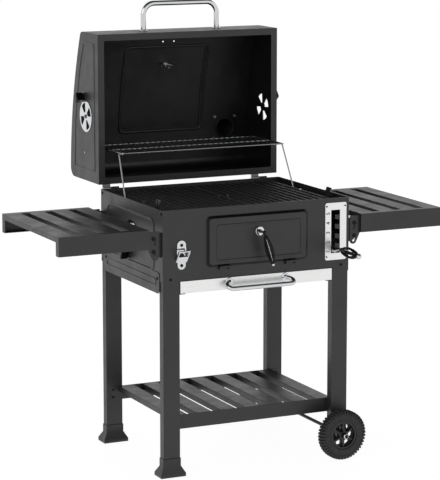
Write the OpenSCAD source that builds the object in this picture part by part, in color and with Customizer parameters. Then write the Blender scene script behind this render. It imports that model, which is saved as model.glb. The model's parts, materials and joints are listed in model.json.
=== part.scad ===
// Charcoal grill trolley: a sheet-metal firebox on four legs, with a hinged lid, a warming rack that
// swings with the lid, a height-adjustable charcoal pan, a stoking door, an ash drawer and two shelves.
// +X is the grill's right-hand side seen from the front, -Y is the front and +Z is up. The origin is on
// the floor, under the middle of the whole plan with the lid open. Measures are in millimetres.

/* [Firebox] */
// Width of the firebox
box_w = 580; // [576:1:584]
// Depth of the firebox
box_d = 442; // [440:1:444]
// Height of the firebox rim above the floor
rim_z = 754; // [752:1:755]
// Height of the lower edge of the firebox panels
panel_low = 554; // [552:1:555]
// Thickness of all sheet metal
sheet = 1.5; // [1.2:0.1:1.6]

/* [Trolley] */
// Width of a leg, left to right
leg_w = 50; // [46:1:50]
// Depth of a leg, front to back
leg_d = 25; // [22:1:25]
// Height of the upper end of the legs
leg_top = 590; // [580:1:591]
// Radius of the wheels
wheel_r = 72.5; // [68:0.5:73]
// Lower edge of the rails of the bottom shelf
rail_z = 127; // [110:1:140]

/* [Side shelves] */
// Distance from the middle of the grill to the end of a shelf
shelf_end = 595; // [594:1:610]
// Height of the top of the shelves
shelf_z = 703; // [700:1:706]
// Width of a shelf slat
slat_w = 48; // [40:1:50]
// Distance from one shelf slat to the next
slat_pitch = 72; // [70:1:73]

/* [Lid] */
// Height of the lid hinge axis
hinge_z = 752; // [751:1:753]
// Distance of the lid hinge axis behind the middle of the firebox
hinge_y = 233; // [232:1:234]
// Depth of the lid from its rim to the deepest point of its curve
lid_depth = 222.5; // [215:0.5:225]
// Radius of the tube of the lid handle
handle_r = 8; // [7:0.5:9]

/* [Fittings] */
// Radius of the vent discs
vent_r = 46; // [44:1:48]
// Width of the stoking door
door_w = 316; // [310:1:318]
// Height of the stoking door
door_h = 145; // [141:1:146]
// Diameter of the thermometer
dial_d = 60; // [50:1:70]

/* [Hidden] */
$fn = 64;
half_w = box_w / 2;
half_d = box_d / 2;
black = "#3b3b3c";
plastic = "#1d1d1e";
cast = "#262626";
chrome = "#d6d8da";
steel = "#c3c4c2";

// Legs stand inside the corners of the firebox.
leg_x = half_w - sheet;
leg_y = half_d - sheet;
leg_in = leg_x - leg_w;
leg_back = leg_y - leg_d;
corner_low = panel_low - 12;
foot_seat = 30;
axle_x = 252;
axle_r = 5;
tyre_w = 32;
wheel_y = 261;
rail_h = 41;
rail_y = leg_back - sheet;

// Stoking door, its bottom hinge and its latch.
door_z = 657.5;
door_lap = 6;
door_gap = 0.6;
door_face = -half_d - door_gap - 5.5;
door_hinge_y = -half_d - 9;
door_hinge_z = 586;
door_pin_r = 2;
latch_x = 2;
latch_z = 679;
latch_lean = 14.5;

// Height adjustment of the charcoal pan.
slot_x = 233;
slot_w = 28;
slot_z = [596, 720];
tooth_x = 246;
tooth_h = 16;
notch_pitch = 27.4;
notch_z = 603;
lever_x = 239.5;
lever_r = 4;
lever_knee = [253, -240, 608];
lever_tip = [253, -350, 606];
lever_ball = 8;
pan_half = [233, 194];
pan_z = notch_z - 14;

// Ash drawer between the corner flanges.
drawer_z = 518.6;
drawer_top = 552.5;
drawer_x = leg_in - 2;

// Vents: blades, knob and the places of the discs.
blade_in = 13;
blade_out = 40;
blade_half = 21.5;
box_blade_turn = 45;
lid_blade_turn = 64;
box_vent = [0, 651];
lid_vent = [331, 955];
rivet_r = 3;

// Lid, open: its rim plane stands upright behind the firebox.
lid_rim = hinge_y + 2.5;
lid_skin = lid_rim + sheet;
lid_low = hinge_z + 12;
lid_top = lid_low + 438;
low_corner = [lid_rim + lid_depth - 28, lid_low + 28];
top_corner = [lid_rim + 122.5, lid_top - 17];
bow_rise = 18;
bow_low = 1.75;
bow_top = 21.8;
flange_w = 19.5;
emboss = 3;
emboss_x = 130;
emboss_z = [890, 1140];
lid_handle_x = 118.5;
lid_handle_y = 300;
lid_handle_out = 89;
lid_handle_bend = 34;
chimney_at = 0.22;
chimney_x = 215;
chimney_r = 29.5;
chimney_end = 570;
cap_pin_x = chimney_x - 42;
cap_pin_top = 578;
dial_at = 0.74;
badge_z = 1161;

// Warming rack: pivot in the lid, front ends, and the anchors of its legs.
rack_pivot = [346, 846];
rack_front = [147, 864];
rack_x = 258;
rack_z = 866;
rack_anchor = [56, 680];
anchor_eye = [58.5, 677.5];
anchor_x = 274;

// Side shelves: hook plates and the shoulder screws that they hang on.
shelf_in = 331;
shelf_bar_h = 54;
shelf_y = 222;
hook_y = 211;
hook_in = 298;
hook_spots = [[312.8, 676.5], [312.8, 640]];
hook_slope = 80;
hook_travel = 14.5;

// The plan is moved so that the origin lies under the middle of its box.
plan_front = lever_tip[1] - lever_ball;
plan_shift = -(plan_front + cap_pin_top) / 2;

// ---- Shared shapes ----

// A flat outline drawn in X and Z, given a thickness along Y.
module slab_xz(y, t) translate([0, y + t, 0]) rotate([90, 0, 0]) linear_extrude(t) children();

// A flat outline drawn in Y and Z, given a thickness along X.
module slab_yz(x, t) translate([x, 0, 0]) rotate([90, 0, 90]) linear_extrude(t) children();

module rounded(w, h, r) {
    square([w, h - 2 * r], center = true);
    square([w - 2 * r, h], center = true);
    for (sx = [-1, 1], sz = [-1, 1])
        translate([sx * (w / 2 - r), sz * (h / 2 - r)])
            circle(r);
}

// A child drawn along +Z, turned to run from one point towards another.
module along(p, q) {
    d = q - p;
    translate(p) rotate([0, atan2(norm([d[0], d[1]]), d[2]), atan2(d[1], d[0])]) children();
}

// A round bar from one point to another.
module rod(p, q, r) along(p, q) cylinder(h = norm(q - p), r = r);

// A child drawn for the right-hand side, mirrored for the left.
module on_side(side) mirror([side < 0 ? 1 : 0, 0, 0]) children();

// A child drawn for the rear, mirrored for the front.
module on_end(end) mirror([0, end < 0 ? 1 : 0, 0]) children();

// A domed screw head standing on a face, along +Z.
module screw_head(r) rotate_extrude() polygon([[0, 0], [r, 0], [r, 1], [r * 0.6, 2.2], [0, 2.2]]);

// ---- Trolley ----

module leg(low) translate([leg_in, leg_back, low]) linear_extrude(leg_top - low) difference() {
    square([leg_w, leg_d]);
    translate([sheet, sheet]) square([leg_w - 2 * sheet, leg_d - 2 * sheet]);
}

module wheel_leg() difference() {
    leg(48);
    translate([axle_x, 0, wheel_r]) rotate([-90, 0, 0]) cylinder(h = half_d, r = axle_r);
}

module leg_front_left() color(black) on_side(-1) on_end(-1) leg(foot_seat);
module leg_rear_left() color(black) on_side(-1) leg(foot_seat);
module leg_front_right() color(black) on_end(-1) wheel_leg();
module leg_rear_right() color(black) wheel_leg();

module foot() color(plastic) difference() {
    translate([leg_in + leg_w / 2, leg_back + leg_d / 2, 0]) intersection() {
        slab_xz(-25, 50) foot_outline(38, leg_w / 2 + 2);
        slab_yz(-38, 76) foot_outline(25, leg_d / 2 + 2);
    }
    translate([leg_in, leg_back, foot_seat]) cube([leg_w, leg_d, 60]);
}

module foot_outline(base, collar) polygon([[-base, 0], [base, 0], [base, 10], [collar, 29],
    [collar, 52], [-collar, 52], [-collar, 29], [-base, 10]]);

module foot_front_left() on_side(-1) on_end(-1) foot();
module foot_rear_left() on_side(-1) foot();

module axle() color(steel) translate([axle_x, 0, wheel_r]) {
    inner = wheel_y - tyre_w / 2 - 0.5;
    outer = wheel_y + tyre_w / 2 + 0.5;
    rotate([-90, 0, 0]) {
        translate([0, 0, -outer]) cylinder(h = 2 * outer, r = axle_r);
        for (s = [-1, 1]) mirror([0, 0, s < 0 ? 1 : 0]) {
            translate([0, 0, leg_y]) cylinder(h = inner - leg_y, r = 9);
            translate([0, 0, outer]) cylinder(h = 8, r = 9);
            translate([0, 0, outer + 8]) cylinder(h = 4, r = 6);
        }
    }
}

module tyre(y) color(plastic) translate([axle_x, y, wheel_r]) rotate([90, 0, 0])
    rotate_extrude($fn = 96) polygon([[40.2, -13], [46, -16], [64, -16], [70, -13], [wheel_r, -9],
        [wheel_r, 9], [70, 13], [64, 16], [46, 16], [40.2, 13]]);

module tyre_front() tyre(-wheel_y);
module tyre_rear() tyre(wheel_y);

module hub(y) color(plastic) translate([axle_x, y, wheel_r]) rotate([90, 0, 0]) difference() {
    rotate_extrude() polygon([[axle_r + 0.05, -16], [13, -16], [13, -4], [35, -4], [35, -13],
        [40, -13], [40, 13], [35, 13], [35, 2], [13, 2], [13, 16], [axle_r + 0.05, 16]]);
    for (a = [0:60:300]) rotate(a) translate([24, 0, -5]) cylinder(h = 10, r = 7.5);
}

module hub_front() hub(-wheel_y);
module hub_rear() hub(wheel_y);

// A rail: an upright web against the legs, a lip on top and a ledge that carries the slats.
module shelf_rail() color(black) {
    translate([-275, rail_y, rail_z]) cube([550, sheet, rail_h]);
    translate([-leg_in + 1, rail_y - 16, rail_z + rail_h - 18]) cube([2 * leg_in - 2, 16, sheet]);
}

module shelf_rail_rear() shelf_rail();
module shelf_rail_front() on_end(-1) shelf_rail();

// A folded slat along Y: a flat top with two edges turned down.
module slat(x, w, y, z, drop) translate([x - w / 2, -y, z - drop]) difference() {
    cube([w, 2 * y, drop]);
    translate([sheet, -1, -sheet]) cube([w - 2 * sheet, 2 * y + 2, drop]);
}

module bottom_shelf_slats() color(black) for (i = [-3:3])
    slat(76 * i, 45, rail_y, rail_z + rail_h, 18 - sheet);

// Outer plate over the lower edge of a firebox side, bolted to the legs.
module skirt() color(black) slab_yz(half_w, sheet) translate([0, 548]) rounded(400, 60, 12);
module skirt_left() on_side(-1) skirt();
module skirt_right() skirt();

// ---- Firebox ----

module end_panel_outline() {
    translate([-half_w, panel_low]) square([box_w, rim_z - panel_low]);
    for (s = [-1, 1]) translate([s * (half_w + leg_in) / 2 - leg_w / 2 - 0.7, corner_low])
        square([leg_w + 1.4, panel_low - corner_low + 1]);
}

// Turned-in hem at the rim and the ledge that carries the grates, on the inside of the rear panel.
module panel_ledges() {
    translate([-leg_x, leg_y - sheet, rim_z - 9]) cube([2 * leg_x, sheet, 9]);
    translate([-262, leg_y - 16, 731]) cube([524, 16, sheet]);
}

module firebox_front() color(black) {
    slab_xz(-half_d, sheet) difference() {
        end_panel_outline();
        translate([0, door_z]) rounded(door_w - 2 * door_lap, door_h - 2 * door_lap, 9);
        translate([slot_x - 2, slot_z[0] - 2]) square([slot_w + 4, slot_z[1] - slot_z[0] + 4]);
    }
    root_x = slot_x + slot_w + 3;
    slab_xz(-half_d, sheet) for (i = [0:3])
        translate([0, notch_z + notch_pitch * (i + 0.5) - tooth_h / 2])
            polygon([[tooth_x, 3], [root_x, 0], [root_x, tooth_h - 3], [tooth_x, tooth_h]]);
    on_end(-1) panel_ledges();
}

module firebox_rear() color(black) {
    slab_xz(leg_y, sheet) end_panel_outline();
    panel_ledges();
}

// Side panel, with its vent blades, the eye that anchors a rack leg, and the lid rest tab.
module firebox_side() color(black) {
    slab_yz(leg_x, sheet) difference() {
        translate([-leg_y, panel_low]) square([2 * leg_y, rim_z - panel_low]);
        translate(box_vent) vent_blades(box_blade_turn);
    }
    slab_yz(leg_x - 5, 5) translate(anchor_eye) difference() {
        circle(21);
        circle(15.5);
    }
    slab_xz(-138, 2) polygon([[264, 730], [leg_x, 730], [leg_x, 738], [270, 738], [270, 773],
        [264, 773]]);
    slab_yz(266, 2) polygon([[-150, 756], [-136, 736], [-126, 736], [-126, 766], [-130, 773],
        [-158, 773], [-158, 767], [-150, 767]]);
}

module firebox_left() on_side(-1) firebox_side();
module firebox_right() firebox_side();

// Angle rails on the inner faces of the legs, under the edges of the ash tray.
module drawer_runners() color(black) for (s = [-1, 1]) on_side(s) {
    translate([leg_in - sheet, -leg_y, 516]) cube([sheet, 2 * leg_y, 36]);
    translate([leg_in - 18, -leg_y, 516]) cube([18, 2 * leg_y, sheet]);
}

// ---- Vents, drawn in the Y-Z plane and facing +X ----

module vent_blades(turn) for (a = [0:90:270]) rotate(a + turn) intersection() {
    difference() {
        circle(blade_out);
        circle(blade_in);
    }
    polygon([[0, 0], [60, -60 * tan(blade_half)], [60, 60 * tan(blade_half)]]);
}

// A disc on its rivet, with a tab at the given angle that carries a square knob.
module vent(at, x, angle, turn) color(chrome) translate([x, at[0], at[1]]) {
    slab_yz(0, 1.2) difference() {
        union() {
            circle(vent_r);
            rotate(angle) translate([40, -9]) square([28, 18]);
        }
        vent_blades(turn);
        circle(rivet_r + 0.06);
    }
    rotate([angle, 0, 0]) translate([1.2, 47, -12]) cube([24, 24, 24]);
}

module box_vent_right() vent(box_vent, half_w + 0.4, -66, box_blade_turn);
module box_vent_left() on_side(-1) box_vent_right();
module lid_vent_right() vent(lid_vent, half_w + 0.4, 140, lid_blade_turn);
module lid_vent_left() on_side(-1) vent(lid_vent, half_w + 0.4, 66, lid_blade_turn);

// Centre rivet of a vent: shank and head, clear of the disc.
module vent_rivet(at) translate([half_w, at[0], at[1]]) rotate([0, 90, 0]) {
    cylinder(h = 2, r = rivet_r);
    translate([0, 0, 2]) cylinder(h = 1.5, r = 6);
}

// ---- Ash drawer ----

module ash_tray() color(black) {
    w = 2 * 224;
    d = 2 * leg_y - 14;
    translate([-w / 2, -leg_y, drawer_z]) difference() {
        cube([w, d, 31]);
        translate([sheet, sheet, sheet]) cube([w - 2 * sheet, d - 2 * sheet, 31]);
    }
}

module drawer_front() color(steel)
    slab_xz(-half_d, sheet) translate([0, (drawer_z + drawer_top) / 2])
        square([2 * drawer_x, drawer_top - drawer_z], center = true);

// Oval bow handle, in a plane that slopes down and away from the drawer front.
module drawer_handle() color(chrome) {
    r = 6.5;
    half = 87;
    turn = 15.5;
    reach = 38;
    translate([0, -half_d, 541]) rotate([22, 0, 0]) {
        rod([-half, -reach, 0], [half, -reach, 0], r);
        for (s = [-1, 1]) on_side(s) {
            translate([half, -reach + turn, 0]) rotate([0, 0, -90])
                rotate_extrude(angle = 180) translate([turn, 0]) circle(r);
            difference() {
                rod([half, -reach + 2 * turn, 0], [half, 8, 0], r);
                rotate([-22, 0, 0]) translate([half - 20, 0, -20]) cube([40, 40, 40]);
            }
        }
    }
}

// ---- Charcoal pan and its lift ----

module charcoal_pan() color(cast) translate([0, 0, pan_z]) {
    w = 2 * pan_half[0];
    d = 2 * pan_half[1];
    difference() {
        translate([-w / 2, -d / 2, 0]) cube([w, d, 20]);
        translate([sheet - w / 2, sheet - d / 2, sheet]) cube([w - 2 * sheet, d - 2 * sheet, 30]);
        for (x = [-200:50:200], y = [-150:50:150])
            translate([x, y, -2]) cylinder(h = 6, r = 5);
    }
    difference() {
        translate([-w / 2 - 12, -d / 2 - 12, 18.2]) cube([w + 24, d + 24, sheet]);
        translate([1 - w / 2, 1 - d / 2, 10]) cube([w - 2, d - 2, 20]);
    }
}

// A bar frame under the rim of the pan; its right-hand bar runs out through the slot and is cranked
// to the right, into the rod of the grip.
module pan_carrier() color(steel) {
    ends = 203;
    past = 6;
    crank = [lever_x, -half_d - 8, notch_z];
    for (s = [-1, 1]) {
        rod([-lever_x - past, s * ends, notch_z], [lever_x + past, s * ends, notch_z], lever_r - 0.5);
        rod([s * lever_x, -ends - past, notch_z], [s * lever_x, ends + past, notch_z], lever_r);
    }
    rod([lever_x, -ends, notch_z], crank - [0, 5, 0], lever_r);
    rod(crank, lever_knee, 3);
    along(lever_knee, lever_tip) {
        translate([0, 0, -5]) cylinder(h = 12, r = 4.5);
        cylinder(h = norm(lever_tip - lever_knee), r = 3.5);
        translate([0, 0, norm(lever_tip - lever_knee)]) sphere(lever_ball);
    }
}

// A grip of six bowed wires between two ferrules, along +Z, open in the middle for its rod.
module cage_grip(length, bulge, bore) {
    rise = bulge - bore - 1.5;
    chord = length / 2 - 4;
    bow_r = (chord * chord + rise * rise) / (2 * rise);
    sweep = asin(chord / bow_r);
    for (z = [0, length - 7]) translate([0, 0, z]) difference() {
        cylinder(h = 7, r = bore + 3);
        translate([0, 0, -1]) cylinder(h = 9, r = bore);
    }
    for (a = [0:60:300]) rotate(a) translate([bulge - bow_r, 0, length / 2])
        rotate([90, 0, 0]) rotate([0, 0, -sweep])
            rotate_extrude(angle = 2 * sweep) translate([bow_r, 0]) circle(1.6, $fn = 24);
}

module lever_grip() color(plastic) along(lever_knee, lever_tip)
    translate([0, 0, 7]) cage_grip(norm(lever_tip - lever_knee) - 16, 14.5, 3.5);

// Plate on the front of the slot; the teeth that hold the lever stand behind it.
module height_plate() color(steel) slab_xz(-half_d - 1.2, 1.2) difference() {
    translate([248, 658.5]) rounded(68, 165, 6);
    translate([slot_x, slot_z[0]]) square([slot_w, slot_z[1] - slot_z[0]]);
}

// ---- Stoking door ----

// A shallow tray that stands proud of the front, with a stepped edge and a hollow back.
module charcoal_door() color(black) {
    back = -half_d - door_gap;
    step = back - 2.8;
    difference() {
        union() {
            slab_xz(step, back - step) translate([0, door_z]) rounded(door_w, door_h, 14);
            slab_xz(door_face, step - door_face) translate([0, door_z])
                rounded(door_w - 14, door_h - 14, 10);
        }
        slab_xz(door_face + sheet, 10) translate([0, door_z]) rounded(door_w - 20, door_h - 20, 8);
    }
    for (s = [-1, 1]) translate([s * 103, door_hinge_y, door_hinge_z]) rotate([0, 90, 0])
        difference() {
            union() {
                translate([0, 0, -10]) cylinder(h = 20, r = 3.5);
                translate([-3, 0, -10]) cube([4, step + 0.5 - door_hinge_y, 20]);
            }
            translate([0, 0, -11]) cylinder(h = 22, r = door_pin_r + 0.06);
        }
}

// Fixed eyes beside each door knuckle, with the pins that the knuckles turn on.
module door_hinge_eyes() color(black) for (s = [-1, 1], e = [-1, 1])
    translate([s * 103 + e * 14, door_hinge_y, door_hinge_z]) rotate([0, 90, 0]) {
        translate([0, 0, -3]) cylinder(h = 6, r = 3.5);
        translate([0, 0, e > 0 ? -13.8 : 3]) cylinder(h = 10.8, r = door_pin_r);
        translate([2, 0, -3]) cube([7, 3, 6]);
        translate([6, 0, -3]) cube([3, 9, 6]);
    }

module latch_rose() color(chrome)
    translate([latch_x, door_face, latch_z]) rotate([90, 0, 0]) difference() {
        cylinder(h = 7, r = 13);
        translate([0, 0, -1]) cylinder(h = 9, r = 4.06);
    }

// Spindle through the rose, bent down to a grip; it hangs a little off the vertical.
module latch_handle() color(plastic) translate([latch_x, 0, latch_z]) rotate([0, -latch_lean, 0]) {
    out = -half_d - 38;
    translate([0, door_face - 0.3, 0]) rotate([90, 0, 0]) cylinder(h = door_face - 0.3 - out, r = 4);
    translate([0, out, 0]) sphere(5);
    translate([0, out, 0]) rotate([180 - 6, 0, 0]) {
        cylinder(h = 95, r = 2.6);
        translate([0, 0, 10]) cage_grip(82, 10.5, 2.6);
        translate([0, 0, 94.5]) sphere(4.5);
    }
}

// ---- Fittings on the firebox front ----

// Wall opener: a dished plate on two screws with a lip that stands away from it.
module bottle_opener() color(chrome) translate([-234, -half_d, 0]) {
    slab_xz(-3, 3) difference() {
        union() {
            translate([0, 655]) circle(13);
            translate([0, 599]) circle(12);
            polygon([[-12, 599], [12, 599], [14, 640], [12.9, 655], [-12.9, 655], [-14, 640]]);
        }
        translate([0, 625]) circle(8);
    }
    for (s = [-1, 1]) translate([s * 15.5 - 1.5, 0, 0])
        slab_yz(0, 3) polygon([[-0.5, 607], [-22, 634], [-25, 642], [-20, 642], [-0.5, 615]]);
    rod([-17, -22.5, 640], [17, -22.5, 640], 2.5);
    slab_yz(-15.5, 31) polygon([[-3, 607], [-13, 620], [-13, 623.5], [-3, 611]]);
}

// ---- Lid ----

function arc(c, r, a0, a1, n) = [for (i = [0:n]) let(a = a0 + (a1 - a0) * i / n)
    c + r * [cos(a), sin(a)]];

// A shallow bow from p to q, with its greatest rise in the middle; the ends are left out.
function bow(p, q, rise, n) = let(run = q - p, side = [run[1], -run[0]] / norm(run))
    [for (i = [1:n - 1]) let(t = i / n) p + run * t + side * 4 * rise * t * (1 - t)];

// Side outline of the lid in Y and Z, drawn in by d, from the plane at y0.
function lid_outline(d, y0) = let(
        p = low_corner + (28 - d) * [cos(bow_low), sin(bow_low)],
        q = top_corner + (17 - d) * [cos(bow_top), sin(bow_top)])
    concat([[y0, lid_low + d]], arc(low_corner, 28 - d, -90, bow_low, 8), bow(p, q, bow_rise, 20),
        arc(top_corner, 17 - d, bow_top, 90, 6), [[y0, lid_top - d]]);

// A point on the outside of the curved top, and the direction that it faces.
function lid_point(t) = let(
        p = low_corner + 28 * [cos(bow_low), sin(bow_low)],
        q = top_corner + 17 * [cos(bow_top), sin(bow_top)],
        run = q - p)
    p + run * t + [run[1], -run[0]] / norm(run) * 4 * bow_rise * t * (1 - t);
function lid_tilt(t) = bow_low + (bow_top - bow_low) * t;

// A child standing on the curved top, its +Z pointing out of the lid.
module on_lid(x, t) translate([x, lid_point(t)[0], lid_point(t)[1]])
    rotate([lid_tilt(t) - 90, 0, 0]) children();

module lid_field(x, z, d) intersection() {
    slab_yz(-x, 2 * x) polygon(lid_outline(d, lid_skin));
    translate([-x, lid_skin, z[0]]) cube([2 * x, 300, z[1] - z[0]]);
}

module lid_wrap() color(black) difference() {
    union() {
        slab_yz(-leg_x, 2 * leg_x) difference() {
            polygon(lid_outline(0, lid_skin));
            polygon(lid_outline(sheet, lid_skin - 1));
        }
        difference() {
            lid_field(emboss_x, emboss_z, -emboss);
            slab_yz(-leg_x, 2 * leg_x) polygon(lid_outline(1, lid_skin - 1));
        }
    }
    lid_field(emboss_x - 3, emboss_z + [3, -3], sheet - emboss);
    on_lid(0, dial_at) translate([0, 0, -20]) cylinder(h = 40, r = 5);
    translate([chimney_x, 400, lid_point(chimney_at)[1]]) rotate([-90, 0, 0])
        cylinder(h = 80, r = chimney_r + 0.5);
    for (s = [-1, 1]) translate([s * 18, 360, badge_z]) rotate([-90, 0, 0]) cylinder(h = 40, r = 2.4);
}

module lid_side() color(black) slab_yz(leg_x, sheet) difference() {
    polygon(lid_outline(0, lid_skin));
    translate(lid_vent) vent_blades(lid_blade_turn);
    translate(rack_pivot) circle(3.06);
}

module lid_side_left() on_side(-1) lid_side();
module lid_side_right() lid_side();

module lid_rim() color(black) slab_xz(lid_rim, sheet) difference() {
    translate([-half_w, lid_low]) square([box_w, lid_top - lid_low]);
    translate([0, (lid_low + lid_top) / 2])
        rounded(box_w - 2 * flange_w, lid_top - lid_low - 2 * flange_w, 4);
}

module lid_handle() color(chrome) translate([0, lid_handle_y, lid_top]) {
    knee = lid_handle_out - handle_r - lid_handle_bend;
    reach = lid_handle_x - lid_handle_bend;
    for (s = [-1, 1]) on_side(s) {
        translate([lid_handle_x, 0, 0]) cylinder(h = 3, r = 13);
        translate([lid_handle_x, 0, 0]) cylinder(h = knee, r = handle_r);
        translate([reach, 0, knee]) rotate([90, 0, 0])
            rotate_extrude(angle = 90) translate([lid_handle_bend, 0]) circle(handle_r);
    }
    rod([-reach, 0, knee + lid_handle_bend], [reach, 0, knee + lid_handle_bend], handle_r);
}

module thermometer() color(chrome) on_lid(0, dial_at) {
    translate([0, 0, emboss]) cylinder(h = 4, r = dial_d / 2 - 8);
    translate([0, 0, emboss + 4]) cylinder(h = 9, r = dial_d / 2);
    translate([0, 0, -34]) cylinder(h = 38, r = 3.5);
    translate([0, 0, -5]) cylinder(h = 6.4, r = 8);
}

// Flue pipe on a square flange; the lug at its end carries the pin of the cap.
module chimney() color(black) {
    z = lid_point(chimney_at)[1];
    difference() {
        union() {
            translate([chimney_x, 444, z]) rotate([-90, 0, 0])
                cylinder(h = chimney_end - 444, r = chimney_r);
            on_lid(chimney_x, chimney_at) linear_extrude(2) rounded(95, 95, 8);
            translate([cap_pin_x, chimney_end - 10, z - 6]) cube([20, 10, 12]);
        }
        translate([chimney_x, 400, z]) rotate([-90, 0, 0]) cylinder(h = 200, r = chimney_r - sheet);
    }
    translate([cap_pin_x, chimney_end - 10, z]) rotate([-90, 0, 0]) {
        cylinder(h = cap_pin_top - chimney_end + 9, r = 3);
        cylinder(h = 10, r = 6);
        translate([0, 0, cap_pin_top - chimney_end + 8]) cylinder(h = 2, r = 6);
    }
}

// Swing-aside cap on the end of the chimney.
module chimney_cap() color(black)
    translate([0, chimney_end + 0.5, lid_point(chimney_at)[1]]) rotate([90, 0, 0])
        translate([0, 0, -5]) linear_extrude(5) difference() {
            union() {
                translate([chimney_x, 0]) circle(chimney_r + 4);
                translate([cap_pin_x, 0]) circle(9);
                translate([cap_pin_x, -9]) square([24, 18]);
            }
            translate([cap_pin_x, 0]) circle(3.06);
        }

// ---- Lid hinges: the lid's knuckle fills the left half of each hinge, the fixed one the right ----
hinge_spots = [-254, 229];

module lid_hinge_knuckles() color(steel) for (x = hinge_spots)
    translate([x - 25, hinge_y, hinge_z]) {
        slab_yz(0, 24) difference() {
            union() {
                circle(5);
                translate([0.5, 0]) square([4.5, 12]);
                translate([0.5, 10.2]) square([36, 1.8]);
            }
            circle(2.56);
        }
    }

module lid_hinge_leaves() color(black) for (x = hinge_spots)
    translate([x, hinge_y, hinge_z]) {
        translate([0, 0, 0]) slab_yz(0, 25) {
            circle(5);
            polygon([[-12, -52], [-10.2, -52], [-10.2, -8], [0, -5], [0, 0], [-5, 0], [-12, -6]]);
        }
        rotate([0, -90, 0]) cylinder(h = 25, r = 2.5);
    }

// ---- Warming rack and its legs ----

module warming_rack() color(chrome) {
    bars = [rack_front[0] - 10, 223, 328];
    past = 4;
    for (y = bars) rod([-rack_x - past, y, rack_z], [rack_x + past, y, rack_z], 2.2);
    for (s = [-1, 1]) on_side(s) {
        rod([rack_x, bars[0] - past, rack_z], [rack_x, bars[2] + past, rack_z], 2.6);
        rod([rack_x, bars[2], rack_z], [rack_x, rack_pivot[0], rack_pivot[1]], 2.3);
        rod([rack_x - past, rack_pivot[0], rack_pivot[1]], [half_w, rack_pivot[0], rack_pivot[1]], 3);
    }
    for (i = [-14:14]) rod([17.5 * i, bars[0], rack_z], [17.5 * i, bars[2], rack_z], 1.5, $fn = 32);
}

module rack_leg() color(chrome) {
    top = [rack_x + 5, rack_front[0], rack_front[1]];
    low = [anchor_x, rack_anchor[0], rack_anchor[1]];
    rod(top, low + (low - top) / norm(low - top) * 4, 2);
    rod(low - [4, 0, 0], low + [12, 0, 0], 2.4);
}

module rack_leg_left() on_side(-1) rack_leg();
module rack_leg_right() rack_leg();

// ---- Grates ----

// One cast grate for the right half: a frame, bars along Y and two studs to lift it by.
module grate() color(cast) {
    x0 = 1.5;
    x1 = 261;
    y = 212;
    pitch = (x1 - x0 - 9) / 11;
    for (i = [0:11]) translate([x0 + pitch * i, -y, 733]) cube([9, 2 * y, 12]);
    for (end = [-y, -5, y - 10]) translate([x0, end, 733]) cube([x1 - x0, 10, 9]);
    for (x = [14, 249]) translate([x, 0, 736]) cylinder(h = 13, r = 4);
}

module grate_left() on_side(-1) grate();
module grate_right() grate();

// ---- Side shelves ----

// Right-hand shelf bars: front and rear channels with closed ends and slotted hook plates.
module shelf_bars() color(black) for (end = [-1, 1]) on_end(end) {
    low = shelf_z - shelf_bar_h;
    length = shelf_end - shelf_in + 1;
    translate([shelf_in - 1, shelf_y - sheet, low]) cube([length, sheet, shelf_bar_h]);
    for (z = [low, shelf_z - sheet])
        translate([shelf_in - 1, shelf_y - 22, z]) cube([length, 22, sheet]);
    for (x = [shelf_in - 1, shelf_end - sheet])
        translate([x, shelf_y - 22, low]) cube([sheet, 22, shelf_bar_h]);
    slab_xz(hook_y, 2) difference() {
        union() {
            polygon([[hook_in, 627], [318.9, 622.3], [331.6, low], [331.6, 697], [hook_in, 697]]);
            translate([hook_in + 11, 627]) circle(11);
        }
        for (p = hook_spots) translate(p) rotate(hook_slope) {
            circle(3.5);
            translate([-hook_travel, -3.5]) square([hook_travel, 7]);
            translate([-hook_travel, 0]) circle(3.5);
        }
    }
}

module right_shelf_bars() shelf_bars();
module left_shelf_bars() on_side(-1) shelf_bars();

// Four slats; the outermost one has a row of hook holes in its outer edge.
module shelf_slats() color(black) {
    y = shelf_y - 22;
    difference() {
        for (i = [0:3]) slat(shelf_end - slat_w / 2 - slat_pitch * i, slat_w, y, shelf_z, 16);
        for (i = [0:3]) translate([shelf_end - 4, -150 + 40 * i, shelf_z - 9]) rotate([0, 90, 0])
            cylinder(h = 8, r = 2.5);
    }
}

module right_shelf_slats() shelf_slats();
module left_shelf_slats() on_side(-1) shelf_slats();

// Angle brackets on the firebox sides, behind the hook plates.
module shelf_brackets() color(black) for (s = [-1, 1], end = [-1, 1]) on_side(s) on_end(end) {
    translate([half_w, hook_y - 22, 622]) cube([sheet, 20, 70]);
    slab_xz(hook_y - 2, sheet) polygon([[half_w, 622], [312, 628], [320, 640], [320, 685],
        [314, 692], [half_w, 692]]);
}

module shoulder_screws() color(black) for (s = [-1, 1], end = [-1, 1], p = hook_spots)
    on_side(s) on_end(end) translate([p[0], hook_y - 2 + sheet, p[1]]) rotate([-90, 0, 0]) {
        cylinder(h = 3.2, r = 3);
        translate([0, 0, 3.2]) cylinder(h = 2.5, r = 5.5);
    }

// ---- Screws and rivets ----

module side_screw(x, y, z) translate([x, y, z]) rotate([0, 90, 0]) screw_head(4.5);
module front_screw(x, y, z, r) translate([x, y, z]) rotate([90, 0, 0]) screw_head(r);

module cart_screws() color(black) {
    for (s = [-1, 1]) on_side(s) {
        vent_rivet(box_vent);
        for (y = [-212, 212]) side_screw(half_w, y, 744);
        for (y = [-185, 185]) side_screw(half_w + sheet, y, 560);
        for (z = [rail_z + 8, rail_z + 30]) {
            front_screw(268, rail_y, z, 3.6);
            on_end(-1) front_screw(268, rail_y, z, 3.6);
        }
        front_screw(266, -half_d, 560, 4);
    }
    for (x = [218.5, 277.5], z = [586, 731]) front_screw(x, -half_d - 1.2, z, 2.4);
    for (z = [655, 598]) front_screw(-234, -half_d - 3, z, 4.5);
}

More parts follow.
